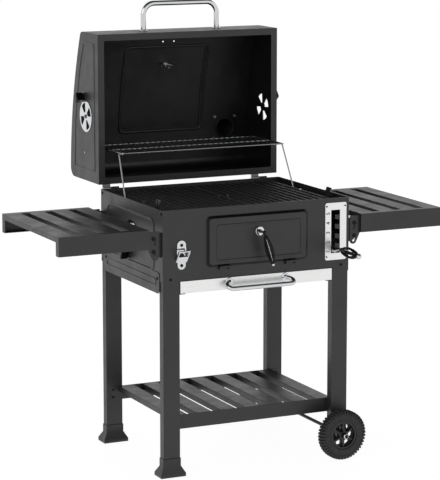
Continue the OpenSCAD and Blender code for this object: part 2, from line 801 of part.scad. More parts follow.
module lid_screws() color(black) {
    for (s = [-1, 1]) on_side(s) vent_rivet(lid_vent);
    for (x = [-34, 34], y = [-34, 34]) on_lid(chimney_x, chimney_at) translate([x, y, 2]) screw_head(4.5);
    for (x = [-lid_handle_x, lid_handle_x]) translate([x, lid_handle_y, lid_top - sheet - 5])
        cylinder(h = 5, r = 6.5, $fn = 6);
}

// ---- The nodes, moved so that the origin is under the middle of the plan ----

module place() translate([0, plan_shift, 0]) children();

place() leg_front_left();
place() leg_front_right();
place() leg_rear_left();
place() leg_rear_right();
place() foot_front_left();
place() foot_rear_left();
place() axle();
place() shelf_rail_front();
place() shelf_rail_rear();
place() bottom_shelf_slats();
place() skirt_left();
place() skirt_right();
place() firebox_front();
place() firebox_rear();
place() firebox_left();
place() firebox_right();
place() drawer_runners();
place() shelf_brackets();
place() shoulder_screws();
place() height_plate();
place() bottle_opener();
place() door_hinge_eyes();
place() lid_hinge_leaves();
place() cart_screws();
place() grate_left();
place() grate_right();
place() tyre_front();
place() tyre_rear();
place() hub_front();
place() hub_rear();
place() ash_tray();
place() drawer_front();
place() drawer_handle();
place() charcoal_pan();
place() pan_carrier();
place() lever_grip();
place() charcoal_door();
place() latch_rose();
place() latch_handle();
place() box_vent_left();
place() box_vent_right();
place() lid_wrap();
place() lid_side_left();
place() lid_side_right();
place() lid_rim();
place() lid_handle();
place() thermometer();
place() chimney();
place() lid_hinge_knuckles();
place() lid_screws();
place() chimney_cap();
place() lid_vent_left();
place() lid_vent_right();
place() warming_rack();
place() rack_leg_left();
place() rack_leg_right();
place() left_shelf_bars();
place() left_shelf_slats();
place() right_shelf_bars();
place() right_shelf_slats();
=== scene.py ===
"""Looks of the charcoal grill trolley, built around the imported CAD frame."""

import json
import math

import bmesh
import bpy
from mathutils import Matrix, Vector
from mathutils.bvhtree import BVHTree


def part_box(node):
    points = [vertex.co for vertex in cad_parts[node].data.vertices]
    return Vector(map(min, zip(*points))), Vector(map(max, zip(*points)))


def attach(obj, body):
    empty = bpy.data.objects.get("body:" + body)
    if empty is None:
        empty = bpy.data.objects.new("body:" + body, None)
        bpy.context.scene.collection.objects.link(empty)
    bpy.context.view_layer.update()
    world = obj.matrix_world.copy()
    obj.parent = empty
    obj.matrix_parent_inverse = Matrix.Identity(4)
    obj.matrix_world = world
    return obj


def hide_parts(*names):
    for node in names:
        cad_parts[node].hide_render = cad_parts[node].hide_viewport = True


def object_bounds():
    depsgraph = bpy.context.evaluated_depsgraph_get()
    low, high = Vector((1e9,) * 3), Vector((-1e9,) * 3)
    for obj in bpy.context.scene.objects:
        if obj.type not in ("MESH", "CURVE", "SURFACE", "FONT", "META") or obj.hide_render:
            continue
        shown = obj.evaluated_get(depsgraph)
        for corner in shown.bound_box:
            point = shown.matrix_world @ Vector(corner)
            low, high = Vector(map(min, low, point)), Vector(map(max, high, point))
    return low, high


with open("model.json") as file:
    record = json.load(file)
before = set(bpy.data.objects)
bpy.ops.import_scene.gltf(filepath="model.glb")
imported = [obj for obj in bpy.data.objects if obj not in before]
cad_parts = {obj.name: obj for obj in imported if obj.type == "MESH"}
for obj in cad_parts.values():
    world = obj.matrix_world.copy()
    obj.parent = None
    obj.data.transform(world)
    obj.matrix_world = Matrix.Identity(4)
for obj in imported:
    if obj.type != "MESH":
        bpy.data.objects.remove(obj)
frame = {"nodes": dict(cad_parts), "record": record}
cad_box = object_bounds()

MM = 0.001
RECORD = frame["record"]
BODY_OF = {n: body for body, nodes in RECORD["behaviour"]["bodies"].items() for n in nodes}
SLOT_OF = {part["node"]: part["material_slot"] for part in RECORD["subparts"]}


def span(node):
    """Lowest corner, highest corner and middle of a CAD node."""
    low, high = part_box(node)
    return low, high, (low + high) / 2


# ---- Camera, at the viewing angle of the reference: long lens, a little above the grill ----

MIDDLE_Y = span("firebox_left")[2].y
AIM = Vector((0, MIDDLE_Y, 0.7))
AZIMUTH, ELEVATION, DISTANCE = math.radians(-25.44), math.radians(9.27), 6.38647

camera = bpy.data.objects.new("camera", bpy.data.cameras.new("camera"))
bpy.context.scene.collection.objects.link(camera)
back = Vector((math.sin(AZIMUTH) * math.cos(ELEVATION), -math.cos(AZIMUTH) * math.cos(ELEVATION),
               math.sin(ELEVATION)))
camera.location = AIM + back * DISTANCE
camera.rotation_mode = "QUATERNION"
camera.rotation_quaternion = (-back).to_track_quat("-Z", "Y")
camera.data.lens = 166.2
camera.data.sensor_width = 36
camera.data.shift_x = -0.0073
camera.data.shift_y = -0.0595
camera.data.clip_end = 100
bpy.context.scene.camera = camera


# ---- Materials ----

def socket(shader, name, value):
    shader.inputs[name].default_value = value


class Paint:
    """A node material under construction: a Principled shader with object-space noises feeding it."""

    def __init__(self, name, color, rough, metal=0.0, specular=0.5):
        self.material = bpy.data.materials.new(name)
        self.material.use_nodes = True
        self.nodes = self.material.node_tree.nodes
        self.links = self.material.node_tree.links
        self.shader = self.nodes["Principled BSDF"]
        self.coordinates = self.nodes.new("ShaderNodeTexCoord").outputs["Object"]
        self.height = None
        socket(self.shader, "Base Color", (*color, 1))
        socket(self.shader, "Roughness", rough)
        socket(self.shader, "Metallic", metal)
        socket(self.shader, "Specular IOR Level", specular)
        self.color = color

    def stretched(self, scale):
        mapping = self.nodes.new("ShaderNodeMapping")
        mapping.inputs["Scale"].default_value = scale
        self.links.new(self.coordinates, mapping.inputs["Vector"])
        return mapping.outputs["Vector"]

    def noise(self, scale, detail=3.0, vector=None):
        texture = self.nodes.new("ShaderNodeTexNoise")
        socket(texture, "Scale", scale)
        socket(texture, "Detail", detail)
        self.links.new(vector or self.coordinates, texture.inputs["Vector"])
        return texture.outputs["Fac"]

    def ranged(self, value, low, high, start=0.3, end=0.7):
        node = self.nodes.new("ShaderNodeMapRange")
        for name, number in (("From Min", start), ("From Max", end), ("To Min", low), ("To Max", high)):
            socket(node, name, number)
        self.links.new(value, node.inputs["Value"])
        return node.outputs["Result"]

    def tint(self, value, other, start=0.3, end=0.7):
        """Base colour that drifts from the main colour to another one."""
        mix = self.nodes.new("ShaderNodeMix")
        mix.data_type = "RGBA"
        mix.inputs["A"].default_value = (*self.color, 1)
        mix.inputs["B"].default_value = (*other, 1)
        self.links.new(self.ranged(value, 0, 1, start, end), mix.inputs["Factor"])
        self.links.new(mix.outputs["Result"], self.shader.inputs["Base Color"])

    def rough(self, value, low, high):
        self.links.new(self.ranged(value, low, high), self.shader.inputs["Roughness"])

    def bump(self, value, depth):
        """Surface relief of the given depth in metres, added on top of what is there."""
        node = self.nodes.new("ShaderNodeBump")
        socket(node, "Strength", 1.0)
        socket(node, "Distance", depth)
        self.links.new(value, node.inputs["Height"])
        if self.height:
            self.links.new(self.height, node.inputs["Normal"])
        self.height = node.outputs["Normal"]
        self.links.new(self.height, self.shader.inputs["Normal"])


def black_coat():
    paint = Paint("powder_coat", (0.013, 0.013, 0.0135), 0.42, specular=0.5)
    paint.tint(paint.noise(6), (0.017, 0.017, 0.0175))
    paint.rough(paint.noise(23, 5), 0.36, 0.47)
    paint.bump(paint.noise(700, 2), 0.00012)
    return paint.material


# The lid's inside: the black coat with a much darker base colour, painted as the shade inside the lid.
def inner_coat():
    paint = Paint("lid_inside_painted_shade", (0.0045, 0.0045, 0.0047), 0.4, specular=0.5)
    paint.tint(paint.noise(9), (0.007, 0.0069, 0.0068))
    paint.rough(paint.noise(30, 5), 0.3, 0.42)
    paint.bump(paint.noise(500, 2), 0.00006)
    return paint.material


def cast_iron():
    paint = Paint("cast_iron", (0.014, 0.014, 0.0142), 0.62, specular=0.45)
    paint.tint(paint.noise(40, 6), (0.024, 0.023, 0.022))
    paint.rough(paint.noise(90, 4), 0.5, 0.75)
    paint.bump(paint.noise(420, 5), 0.0005)
    paint.bump(paint.noise(1500, 2), 0.00015)
    return paint.material


def chrome_plate():
    paint = Paint("chrome_plate", (0.64, 0.65, 0.665), 0.07, metal=1.0)
    paint.rough(paint.noise(60, 4), 0.05, 0.11)
    paint.bump(paint.noise(90, 2), 0.00004)
    return paint.material


def brushed_steel(name, streaks, color=(0.66, 0.66, 0.655)):
    paint = Paint(name, color, 0.3, metal=1.0)
    lines = paint.noise(1, 4, paint.stretched(streaks))
    paint.tint(lines, tuple(0.9 * level for level in color))
    paint.rough(lines, 0.24, 0.4)
    paint.bump(lines, 0.00006)
    return paint.material


def zinc_plate():
    paint = Paint("zinc_plate", (0.42, 0.42, 0.43), 0.34, metal=1.0)
    paint.tint(paint.noise(160, 4), (0.34, 0.345, 0.36))
    paint.rough(paint.noise(220, 3), 0.26, 0.44)
    paint.bump(paint.noise(800, 2), 0.00008)
    return paint.material


def black_plastic():
    paint = Paint("black_plastic", (0.012, 0.012, 0.0125), 0.4, specular=0.5)
    paint.rough(paint.noise(50, 4), 0.34, 0.48)
    paint.bump(paint.noise(1400, 2), 0.00008)
    return paint.material


def gloss_black():
    paint = Paint("gloss_black", (0.002, 0.002, 0.0021), 0.22, specular=0.2)
    paint.rough(paint.noise(70, 4), 0.16, 0.28)
    paint.bump(paint.noise(900, 2), 0.00005)
    return paint.material


def bright_wire():
    paint = Paint("bright_wire", (0.36, 0.365, 0.37), 0.2, metal=1.0)
    paint.rough(paint.noise(90, 4), 0.15, 0.28)
    paint.bump(paint.noise(200, 2), 0.00004)
    return paint.material


def tyre_rubber():
    paint = Paint("tyre_rubber", (0.016, 0.016, 0.016), 0.72, specular=0.4)
    paint.tint(paint.noise(60, 5), (0.024, 0.0235, 0.023))
    paint.rough(paint.noise(120, 3), 0.6, 0.82)
    paint.bump(paint.noise(900, 3), 0.0002)
    return paint.material


def ink():
    paint = Paint("black_ink", (0.02, 0.02, 0.02), 0.5)
    paint.tint(paint.noise(500, 3), (0.05, 0.05, 0.05))
    return paint.material


def dial_face():
    paint = Paint("dial_face", (0.75, 0.75, 0.74), 0.35)
    paint.tint(paint.noise(80, 3), (0.7, 0.7, 0.69))
    return paint.material


MATERIALS = {
    "black_coat": black_coat(),
    "enamel": cast_iron(),
    "chrome": chrome_plate(),
    "steel": brushed_steel("brushed_steel", (8, 900, 900)),
    "zinc": zinc_plate(),
    "plastic": black_plastic(),
    "tyre": tyre_rubber(),
}
INNER_SHADED = inner_coat()
INK = ink()
PALE_STEEL = brushed_steel("pale_steel", (8, 900, 900), (0.84, 0.84, 0.835))
DIAL = dial_face()
GLOSS = gloss_black()
WIRE = bright_wire()


# ---- Pieces: helpers ----

def new_object(name, mesh):
    piece = bpy.data.objects.new(name, mesh)
    bpy.context.scene.collection.objects.link(piece)
    return piece


def apply_modifiers(piece):
    graph = bpy.context.evaluated_depsgraph_get()
    mesh = bpy.data.meshes.new_from_object(piece.evaluated_get(graph))
    piece.modifiers.clear()
    piece.data = mesh


def settle(piece, body, slot, replaced=(), material=None):
    """Gives a piece its body and the material of its slot, or the one given, and hides the nodes it
    replaces.
    """
    piece.data.materials.clear()
    piece.data.materials.append(material or MATERIALS[slot])
    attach(piece, body)
    if replaced:
        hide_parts(*replaced)
    return piece


def smooth(piece, angle):
    """Shades a piece smooth, except over edges sharper than the angle in degrees."""
    for polygon in piece.data.polygons:
        polygon.use_smooth = True
    piece.data.set_sharp_from_angle(angle=math.radians(angle))


def break_edges(piece, width, angle=38, segments=2):
    """Rounds the sharp edges of a piece and smooths its curved faces."""
    bevel = piece.modifiers.new("bevel", "BEVEL")
    bevel.width = width
    bevel.segments = segments
    bevel.limit_method = "ANGLE"
    bevel.angle_limit = math.radians(angle)
    smooth(piece, angle + 8)
    normals = piece.modifiers.new("normals", "WEIGHTED_NORMAL")
    normals.keep_sharp = True
    apply_modifiers(piece)


def made(name, shape, body, slot, bevel=0.0, replaced=(), material=None, angle=38):
    """A finished piece from a bmesh."""
    bmesh.ops.recalc_face_normals(shape, faces=shape.faces)
    mesh = bpy.data.meshes.new(name)
    shape.to_mesh(mesh)
    shape.free()
    piece = new_object(name, mesh)
    if bevel:
        break_edges(piece, bevel, angle)
    else:
        smooth(piece, angle)
    return settle(piece, body, slot, replaced, material)


def cad_shape(node):
    """The mesh of a CAD node as a bmesh, with its flat facets joined."""
    shape = bmesh.new()
    shape.from_mesh(frame["nodes"][node].data)
    bmesh.ops.remove_doubles(shape, verts=shape.verts, dist=1e-6)
    bmesh.ops.dissolve_limit(shape, angle_limit=math.radians(0.4), verts=shape.verts,
                             edges=shape.edges)
    return shape


def cut(shape, point, normal):
    """Keeps what lies on the side that the normal points away from, and closes the cut."""
    everything = shape.verts[:] + shape.edges[:] + shape.faces[:]
    bmesh.ops.bisect_plane(shape, geom=everything, plane_co=point, plane_no=normal, clear_outer=True)
    bmesh.ops.holes_fill(shape, edges=[e for e in shape.edges if e.is_boundary], sides=0)
    return shape


def refined(node, width=0.5 * MM, material=None):
    """A copy of a CAD node with its edges broken, which stands for the node."""
    return made(node + "_made", cad_shape(node), BODY_OF[node], SLOT_OF[node], width, [node], material)


def rounded_loop(half_w, half_h, radius, steps=6):
    """Corner points of a rounded rectangle, as pairs, anticlockwise."""
    points = []
    for quarter, (sx, sy) in enumerate([(1, 1), (-1, 1), (-1, -1), (1, -1)]):
        for step in range(steps + 1):
            a = math.radians(90 * (quarter + step / steps))
            points.append((sx * (half_w - radius) + radius * math.cos(a),
                           sy * (half_h - radius) + radius * math.sin(a)))
    return points


def sweep(shape, path, normals, profile):
    """Sweeps a profile of (side, out) pairs round a closed path on a surface with these normals."""
    rings = []
    count = len(path)
    for i, point in enumerate(path):
        run = (path[(i + 1) % count] - path[i - 1]).normalized()
        side = run.cross(normals[i]).normalized()
        rings.append([shape.verts.new(point + side * a + normals[i] * b) for a, b in profile])
    for one, two in zip(rings, rings[1:] + rings[:1]):
        for k in range(len(profile)):
            n = (k + 1) % len(profile)
            shape.faces.new((one[k], one[n], two[n], two[k]))
    return shape


def ridge(width, height, sunk=0.4 * MM):
    """Profile of a pressed bead: a low arch whose foot is sunk into the sheet."""
    arch = [(-width / 2 * math.cos(math.pi * k / 8), height * math.sin(math.pi * k / 8) ** 0.8)
            for k in range(9)]
    return [(-width / 2, -sunk)] + arch + [(width / 2, -sunk)]


def lathe(shape, profile, centre, axis, segments=48):
    """Turns a profile of (radius, along) pairs round an axis; both ends lie on the axis or close up."""
    axis = Vector(axis).normalized()
    side = axis.orthogonal().normalized()
    other = axis.cross(side)
    rings = []
    for radius, along in profile:
        if radius < 1e-7:
            rings.append([shape.verts.new(Vector(centre) + axis * along)])
            continue
        rings.append([shape.verts.new(Vector(centre) + axis * along
                                      + (side * math.cos(a) + other * math.sin(a)) * radius)
                      for a in (2 * math.pi * k / segments for k in range(segments))])
    for one, two in zip(rings, rings[1:]):
        for k in range(segments):
            n = (k + 1) % segments
            corners = [one[k % len(one)], one[n % len(one)], two[n % len(two)], two[k % len(two)]]
            corners = list(dict.fromkeys(corners))
            if len(corners) > 2:
                shape.faces.new(corners)
    return shape


def tube(shape, points, radius, segments=12):
    """A round wire along a list of points, with mitred bends and closed ends."""
    points = [Vector(p) for p in points]
    start = (points[1] - points[0]).normalized()
    side = start.orthogonal().normalized()
    rings = []
    for i, point in enumerate(points):
        before = (point - points[i - 1]).normalized() if i else start
        after = (points[i + 1] - point).normalized() if i + 1 < len(points) else before
        run = (before + after).normalized()
        side = (side - run * side.dot(run)).normalized()
        other = run.cross(side)
        stretch = 1 / max(0.6, before.dot(run))
        rings.append([shape.verts.new(point + (side * math.cos(a) + other * math.sin(a)) * radius * stretch)
                      for a in (2 * math.pi * k / segments for k in range(segments))])
    for one, two in zip(rings, rings[1:]):
        for k in range(segments):
            n = (k + 1) % segments
            shape.faces.new((one[k], one[n], two[n], two[k]))
    shape.faces.new(list(reversed(rings[0])))
    shape.faces.new(rings[-1])
    return shape


def islands(node):
    """Vertices of each separate solid of a CAD node, as lists of points."""
    shape = bmesh.new()
    shape.from_mesh(frame["nodes"][node].data)
    bmesh.ops.remove_doubles(shape, verts=shape.verts, dist=1e-6)
    seen = set()
    found = []
    for first in shape.verts:
        if first in seen:
            continue
        seen.add(first)
        stack = [first]
        group = []
        while stack:
            vert = stack.pop()
            group.append(vert.co.copy())
            for edge in vert.link_edges:
                other = edge.other_vert(vert)
                if other not in seen:
                    seen.add(other)
                    stack.append(other)
        found.append(group)
    shape.free()
    return found


# ---- Pieces: screws ----

def pan_head(shape, foot, axis, radius, height):
    """A pan-head screw with a cross recess, standing on the point foot."""
    axis = Vector(axis).normalized()
    side = axis.orthogonal().normalized()
    other = axis.cross(side)
    segments = 32

    def ring(radius_at, along):
        angles = [2 * math.pi * k / segments for k in range(segments)]
        return [shape.verts.new(Vector(foot) + axis * along
                                + (side * math.cos(a) + other * math.sin(a)) * radius_at(a))
                for a in angles]

    def cross(a):
        spoke = abs(math.cos(2 * a)) ** 3
        return radius * (0.13 + 0.36 * spoke)

    rings = [ring(lambda a: radius, -0.3 * MM),
             ring(lambda a: radius, height * 0.45),
             ring(lambda a: radius * 0.93, height * 0.72),
             ring(lambda a: radius * 0.76, height * 0.93),
             ring(lambda a: radius * 0.56, height),
             ring(cross, height),
             ring(lambda a: cross(a) * 0.9, height * 0.35)]
    for one, two in zip(rings, rings[1:]):
        for k in range(segments):
            n = (k + 1) % segments
            shape.faces.new((one[k], one[n], two[n], two[k]))
    shape.faces.new(rings[-1])
    shape.faces.new(list(reversed(rings[0])))
    return shape


def screws(node):
    """A cross-recessed head, or a domed rivet, on the place of every plain head of a CAD node."""
    shape = bmesh.new()
    for points in islands(node):
        low = Vector([min(p[i] for p in points) for i in range(3)])
        high = Vector([max(p[i] for p in points) for i in range(3)])
        middle, size = (low + high) / 2, high - low
        thin = min(range(3), key=lambda i: size[i])
        radius = sorted(size)[1] / 2
        axis = Vector((0, 0, 0))
        axis[thin] = math.copysign(1, middle[thin] - (MIDDLE_Y if thin == 1 else 0))
        foot = middle - axis * size[thin] / 2
        if size[thin] > 2.6 * MM:
            rise = size[thin]
            lathe(shape, [(0, 0), (3 * MM, 0), (3 * MM, 2 * MM), (radius, 2 * MM), (radius, 2.5 * MM),
                          (radius * 0.7, rise * 0.93), (radius * 0.3, rise), (0, rise)], foot, axis, 32)
        else:
            pan_head(shape, foot, axis, radius, size[thin])
    made(node + "_heads", shape, BODY_OF[node], SLOT_OF[node], replaced=[node], material=GLOSS, angle=30)


# ---- Pieces: vents ----

def vent(node):
    """A pressed disc on its rivet and the black knob on its tab."""
    low, high, middle = span(node)
    side = math.copysign(1, middle.x)
    face = (low.x if side > 0 else high.x) + side * 1.22 * MM
    plane = Vector((face, 0, 0))
    made(node + "_disc", cut(cad_shape(node), plane, (side, 0, 0)), BODY_OF[node], "chrome", 0.35 * MM,
         [node])
    made(node + "_knob", cut(cad_shape(node), plane, (-side, 0, 0)), BODY_OF[node], "plastic", 2.5 * MM,
         material=GLOSS, angle=60)


# ---- Pieces: stoking door and its latch ----

def bridge(shape, rings):
    for one, two in zip(rings, rings[1:]):
        for k in range(len(one)):
            n = (k + 1) % len(one)
            shape.faces.new((one[k], one[n], two[n], two[k]))


def stoking_door():
    """A pressed tray with slanting sides, whose slopes carry the near-black gloss as painted shade, and a
    beaded frame, on two rolled knuckles.
    """
    low, high, middle = span("charcoal_door")
    height, radius = 145 * MM, 14 * MM
    centre = Vector((middle.x, high.y, high.z - height / 2))
    half_w, half_h = (high.x - low.x) / 2, height / 2
    proud = 5.5 * MM

    def ring(inset, out):
        r = max(radius - inset * 0.6, 3 * MM)
        loop = rounded_loop(half_w - inset, half_h - inset, r)
        return [shape.verts.new((centre.x + a, centre.y - out, centre.z + b)) for a, b in loop]

    shape = bmesh.new()
    front = [(0, 0), (0, 0.2), (0.3, 0.4), (0.8, 0.5), (6.6, 5.0), (7.8, 5.4), (9.2, 5.5)]
    rear = [(2.4, 0), (8.2, 3.9), (9.6, 4.0)]
    outer = [ring(a * MM, b * MM) for a, b in front]
    inner = [ring(a * MM, b * MM) for a, b in rear]
    bridge(shape, outer)
    bridge(shape, inner)
    bridge(shape, [outer[0], inner[0]])
    shape.faces.new(outer[-1])
    shape.faces.new(inner[-1])
    panel = made("charcoal_door_panel", shape, BODY_OF["charcoal_door"], "black_coat",
                 replaced=["charcoal_door"], angle=24)
    # Painted shade: every sloped face of the tray takes the near-black gloss material, standing in for the
    # dark band that shadow makes along the tray's edge.
    panel.data.materials.append(GLOSS)
    for polygon in panel.data.polygons:
        shade_painted_slope = 0.2 < abs(polygon.normal.y) < 0.97
        polygon.material_index = 1 if shade_painted_slope else 0

    frame_line = bmesh.new()
    face = Vector((centre.x + 4 * MM, centre.y - proud, centre.z - 5 * MM))
    loop = rounded_loop(131 * MM, 49.5 * MM, 7 * MM)
    path = [face + Vector((a, 0, b)) for a, b in loop]
    sweep(frame_line, path, [Vector((0, -1, 0))] * len(path), ridge(6 * MM, 2 * MM, 0.3 * MM))
    made("charcoal_door_bead", frame_line, BODY_OF["charcoal_door"], "black_coat", angle=50)

    knuckles = bmesh.new()
    radius, half = 3.5 * MM, 10 * MM
    bore = 2.06 * MM
    tube_wall = [(bore, -half), (radius, -half), (radius, half), (bore, half), (bore, -half)]
    for side in (-1, 1):
        axle_point = Vector((centre.x + side * 103 * MM, low.y + radius, low.z + radius))
        lathe(knuckles, tube_wall, axle_point, (1, 0, 0), 40)
        start, end = axle_point.y + 2.4 * MM, centre.y - 1.2 * MM
        tab = bmesh.ops.create_cube(knuckles, size=1)["verts"]
        for vert in tab:
            vert.co = Vector((axle_point.x + vert.co.x * 2 * half,
                              (start + end) / 2 + vert.co.y * (end - start),
                              axle_point.z + 1 * MM + vert.co.z * 4 * MM))
    made("charcoal_door_knuckles", knuckles, BODY_OF["charcoal_door"], "black_coat", angle=30)


def cage(start, end, bulge, wire):
    """Six bowed wires round the line from start to end."""
    foot = 4 * MM
    run = end - start
    side = run.orthogonal().normalized()
    other = run.normalized().cross(side)
    shape = bmesh.new()
    for k in range(6):
        out = side * math.cos(math.radians(60 * k)) + other * math.sin(math.radians(60 * k))
        points = [start + run * t + out * (foot + (bulge - foot) * math.sin(math.pi * t))
                  for t in (i / 20 for i in range(21))]
        tube(shape, points, wire, 10)
    return shape


def latch():
    """A black wire cage round a bright rod that ends in a bright ball."""
    low, high, _ = span("latch_handle")
    rose = span("latch_rose")[2]
    body = BODY_OF["latch_handle"]
    ball_r = 4.5 * MM
    ball = Vector((high.x - ball_r, low.y + ball_r, low.z + ball_r))
    neck = Vector((rose.x, low.y + 14.4 * MM, rose.z))
    run = (ball - neck).normalized()
    end = ball - run * 2.5 * MM
    made("latch_cage", cut(cad_shape("latch_handle"), end, run), body, "plastic", replaced=["latch_handle"],
         material=GLOSS, angle=50)
    made("latch_wires", cage(neck + run * 12 * MM, neck + run * 91 * MM, 9.6 * MM, 2.3 * MM), body,
         "plastic", material=GLOSS, angle=50)
    made("latch_ball", cut(cad_shape("latch_handle"), end, -run), body, "chrome", angle=50)
    rod = tube(bmesh.new(), [neck + run * 13 * MM, end - run * 1 * MM], 2.75 * MM, 24)
    made("latch_rod", rod, body, "chrome", angle=50)
    refined("latch_rose", 1.2 * MM)


def lever():
    """The carrier is plated; its rod and ball in front of the grip's neck are bright."""
    low, high, middle = span("lever_grip")
    point = Vector((0, high.y + 6 * MM, 0))
    body = BODY_OF["pan_carrier"]
    made("pan_carrier_frame", cut(cad_shape("pan_carrier"), point, (0, -1, 0)), body, "zinc",
         replaced=["pan_carrier"], angle=50)
    made("pan_carrier_rod", cut(cad_shape("pan_carrier"), point, (0, 1, 0)), body, "chrome", angle=50)
    made("lever_cage", cad_shape("lever_grip"), body, "plastic", replaced=["lever_grip"], material=GLOSS,
         angle=50)
    start, end = Vector((middle.x, high.y - 9 * MM, middle.z)), Vector((middle.x, low.y + 9 * MM, middle.z))
    made("lever_wires", cage(start, end, 13.2 * MM, 2.2 * MM), body, "plastic", material=GLOSS, angle=50)
    made("lever_sleeve", tube(bmesh.new(), [start, end], 5.2 * MM, 24), body, "chrome", angle=50)


# ---- Pieces: lid ----

def two_sided(node, inside, width=0.4 * MM):
    """A coated sheet whose faces towards a point inside carry the inner coat, whose darker base colour is
    painted shade.
    """
    piece = refined(node, width)
    piece.data.materials.append(INNER_SHADED)
    for polygon in piece.data.polygons:
        if polygon.normal.dot(inside - polygon.center) > 0.02:
            polygon.material_index = 1
    return piece


def lid_surface(x, z, inner=True):
    """Point and normal of the lid's skin at this place, seen from inside or outside."""
    low, high, _ = span("lid_wrap")
    start = Vector((x, low.y - 10 * MM if inner else high.y + 100 * MM, z))
    run = Vector((0, 1 if inner else -1, 0))
    hit, normal, _, _ = LID_TREE.ray_cast(start, run)
    if normal.dot(run) > 0:
        normal = -normal
    return hit, normal


def lid_pieces():
    """The lid's sheets with their inner coat darkened as painted shade and their beads, and the nuts inside
    it.
    """
    low, high, middle = span("lid_wrap")
    inside = Vector((0, low.y + 90 * MM, middle.z))
    for node in ("lid_wrap", "lid_side_left", "lid_side_right"):
        two_sided(node, inside)
    refined("lid_rim", 0.4 * MM)

    # The bead round the pressed field, on the inside in the coat darkened as painted shade and, finer, on
    # the outside.
    field_half_w, field_half_h, field_z = 130 * MM, 125 * MM, 1015 * MM
    for name, inner, grow, profile in (("inside", True, 6 * MM, ridge(8 * MM, 3.6 * MM)),
                                       ("outside", False, 5 * MM, ridge(6 * MM, 1.2 * MM))):
        shape = bmesh.new()
        loop = []
        corners = rounded_loop(field_half_w + grow, field_half_h + grow, 14 * MM)
        for (a, b), (c, d) in zip(corners, corners[1:] + corners[:1]):
            pieces = max(1, round(math.hypot(c - a, d - b) / (12 * MM)))
            loop += [(a + (c - a) * k / pieces, b + (d - b) * k / pieces) for k in range(pieces)]
        spots = [lid_surface(a, field_z + b, inner) for a, b in loop]
        sweep(shape, [hit for hit, _ in spots], [normal for _, normal in spots], profile)
        made("lid_field_bead_" + name, shape, BODY_OF["lid_wrap"], "black_coat",
             material=INNER_SHADED if inner else None, angle=50)

    # The nuts of the flue's four bolts.
    nuts = bmesh.new()
    flue_z = span("chimney_cap")[2].z
    flange_half, bolt = 47.5 * MM, 34 * MM
    flue_x = span("chimney")[1].x - flange_half
    for a in (-bolt, bolt):
        for b in (-bolt, bolt):
            hit, normal = lid_surface(flue_x + a, flue_z + b)
            lathe(nuts, [(0, -0.3 * MM), (5 * MM, -0.3 * MM), (5 * MM, 4 * MM), (0, 4 * MM)], hit, normal, 6)
            lathe(nuts, [(0, 3.5 * MM), (2.5 * MM, 3.5 * MM), (2.5 * MM, 8 * MM), (0, 8.4 * MM)], hit,
                  normal, 16)
    made("flue_nuts", nuts, BODY_OF["chimney"], "zinc", angle=40)

    # The bead that follows the outline of each side plate.
    start, end, steps = low.z + 34 * MM, high.z - 30 * MM, 24
    heights = [start + (end - start) * k / steps for k in range(steps + 1)]
    rim = low.y + 30 * MM
    beside_holes = 60 * MM
    for side in (-1, 1):
        curve = [(lid_surface(beside_holes, z, False)[0].y - 34 * MM, z) for z in heights]
        line = [(rim, heights[0])] + [(y, z) for y, z in curve if y > rim + 4 * MM] + [(rim, heights[-1])]
        line = rounded_path(line, 12 * MM)
        normal = Vector((side, 0, 0))
        face = side * (high.x + 1.5 * MM)
        path = [Vector((face, y, z)) for y, z in line]
        shape = sweep(bmesh.new(), path, [normal] * len(path), ridge(6 * MM, 1.5 * MM, 0.5 * MM))
        made("lid_side_bead_" + ("left" if side < 0 else "right"), shape, BODY_OF["lid_wrap"],
             "black_coat", angle=50)


def rounded_path(points, radius, steps=5):
    """A closed polyline of pairs with its sharp corners rounded."""
    result = []
    count = len(points)
    for i, point in enumerate(points):
        here = Vector(point)
        before, after = Vector(points[i - 1]) - here, Vector(points[(i + 1) % count]) - here
        if before.angle(after) > math.radians(150):
            result.append(tuple(here))
            continue
        reach = min(radius, before.length * 0.45, after.length * 0.45)
        start, end = here + before.normalized() * reach, here + after.normalized() * reach
        for k in range(steps + 1):
            t = k / steps
            result.append(tuple(start * (1 - t) ** 2 + here * 2 * t * (1 - t) + end * t ** 2))
    return result


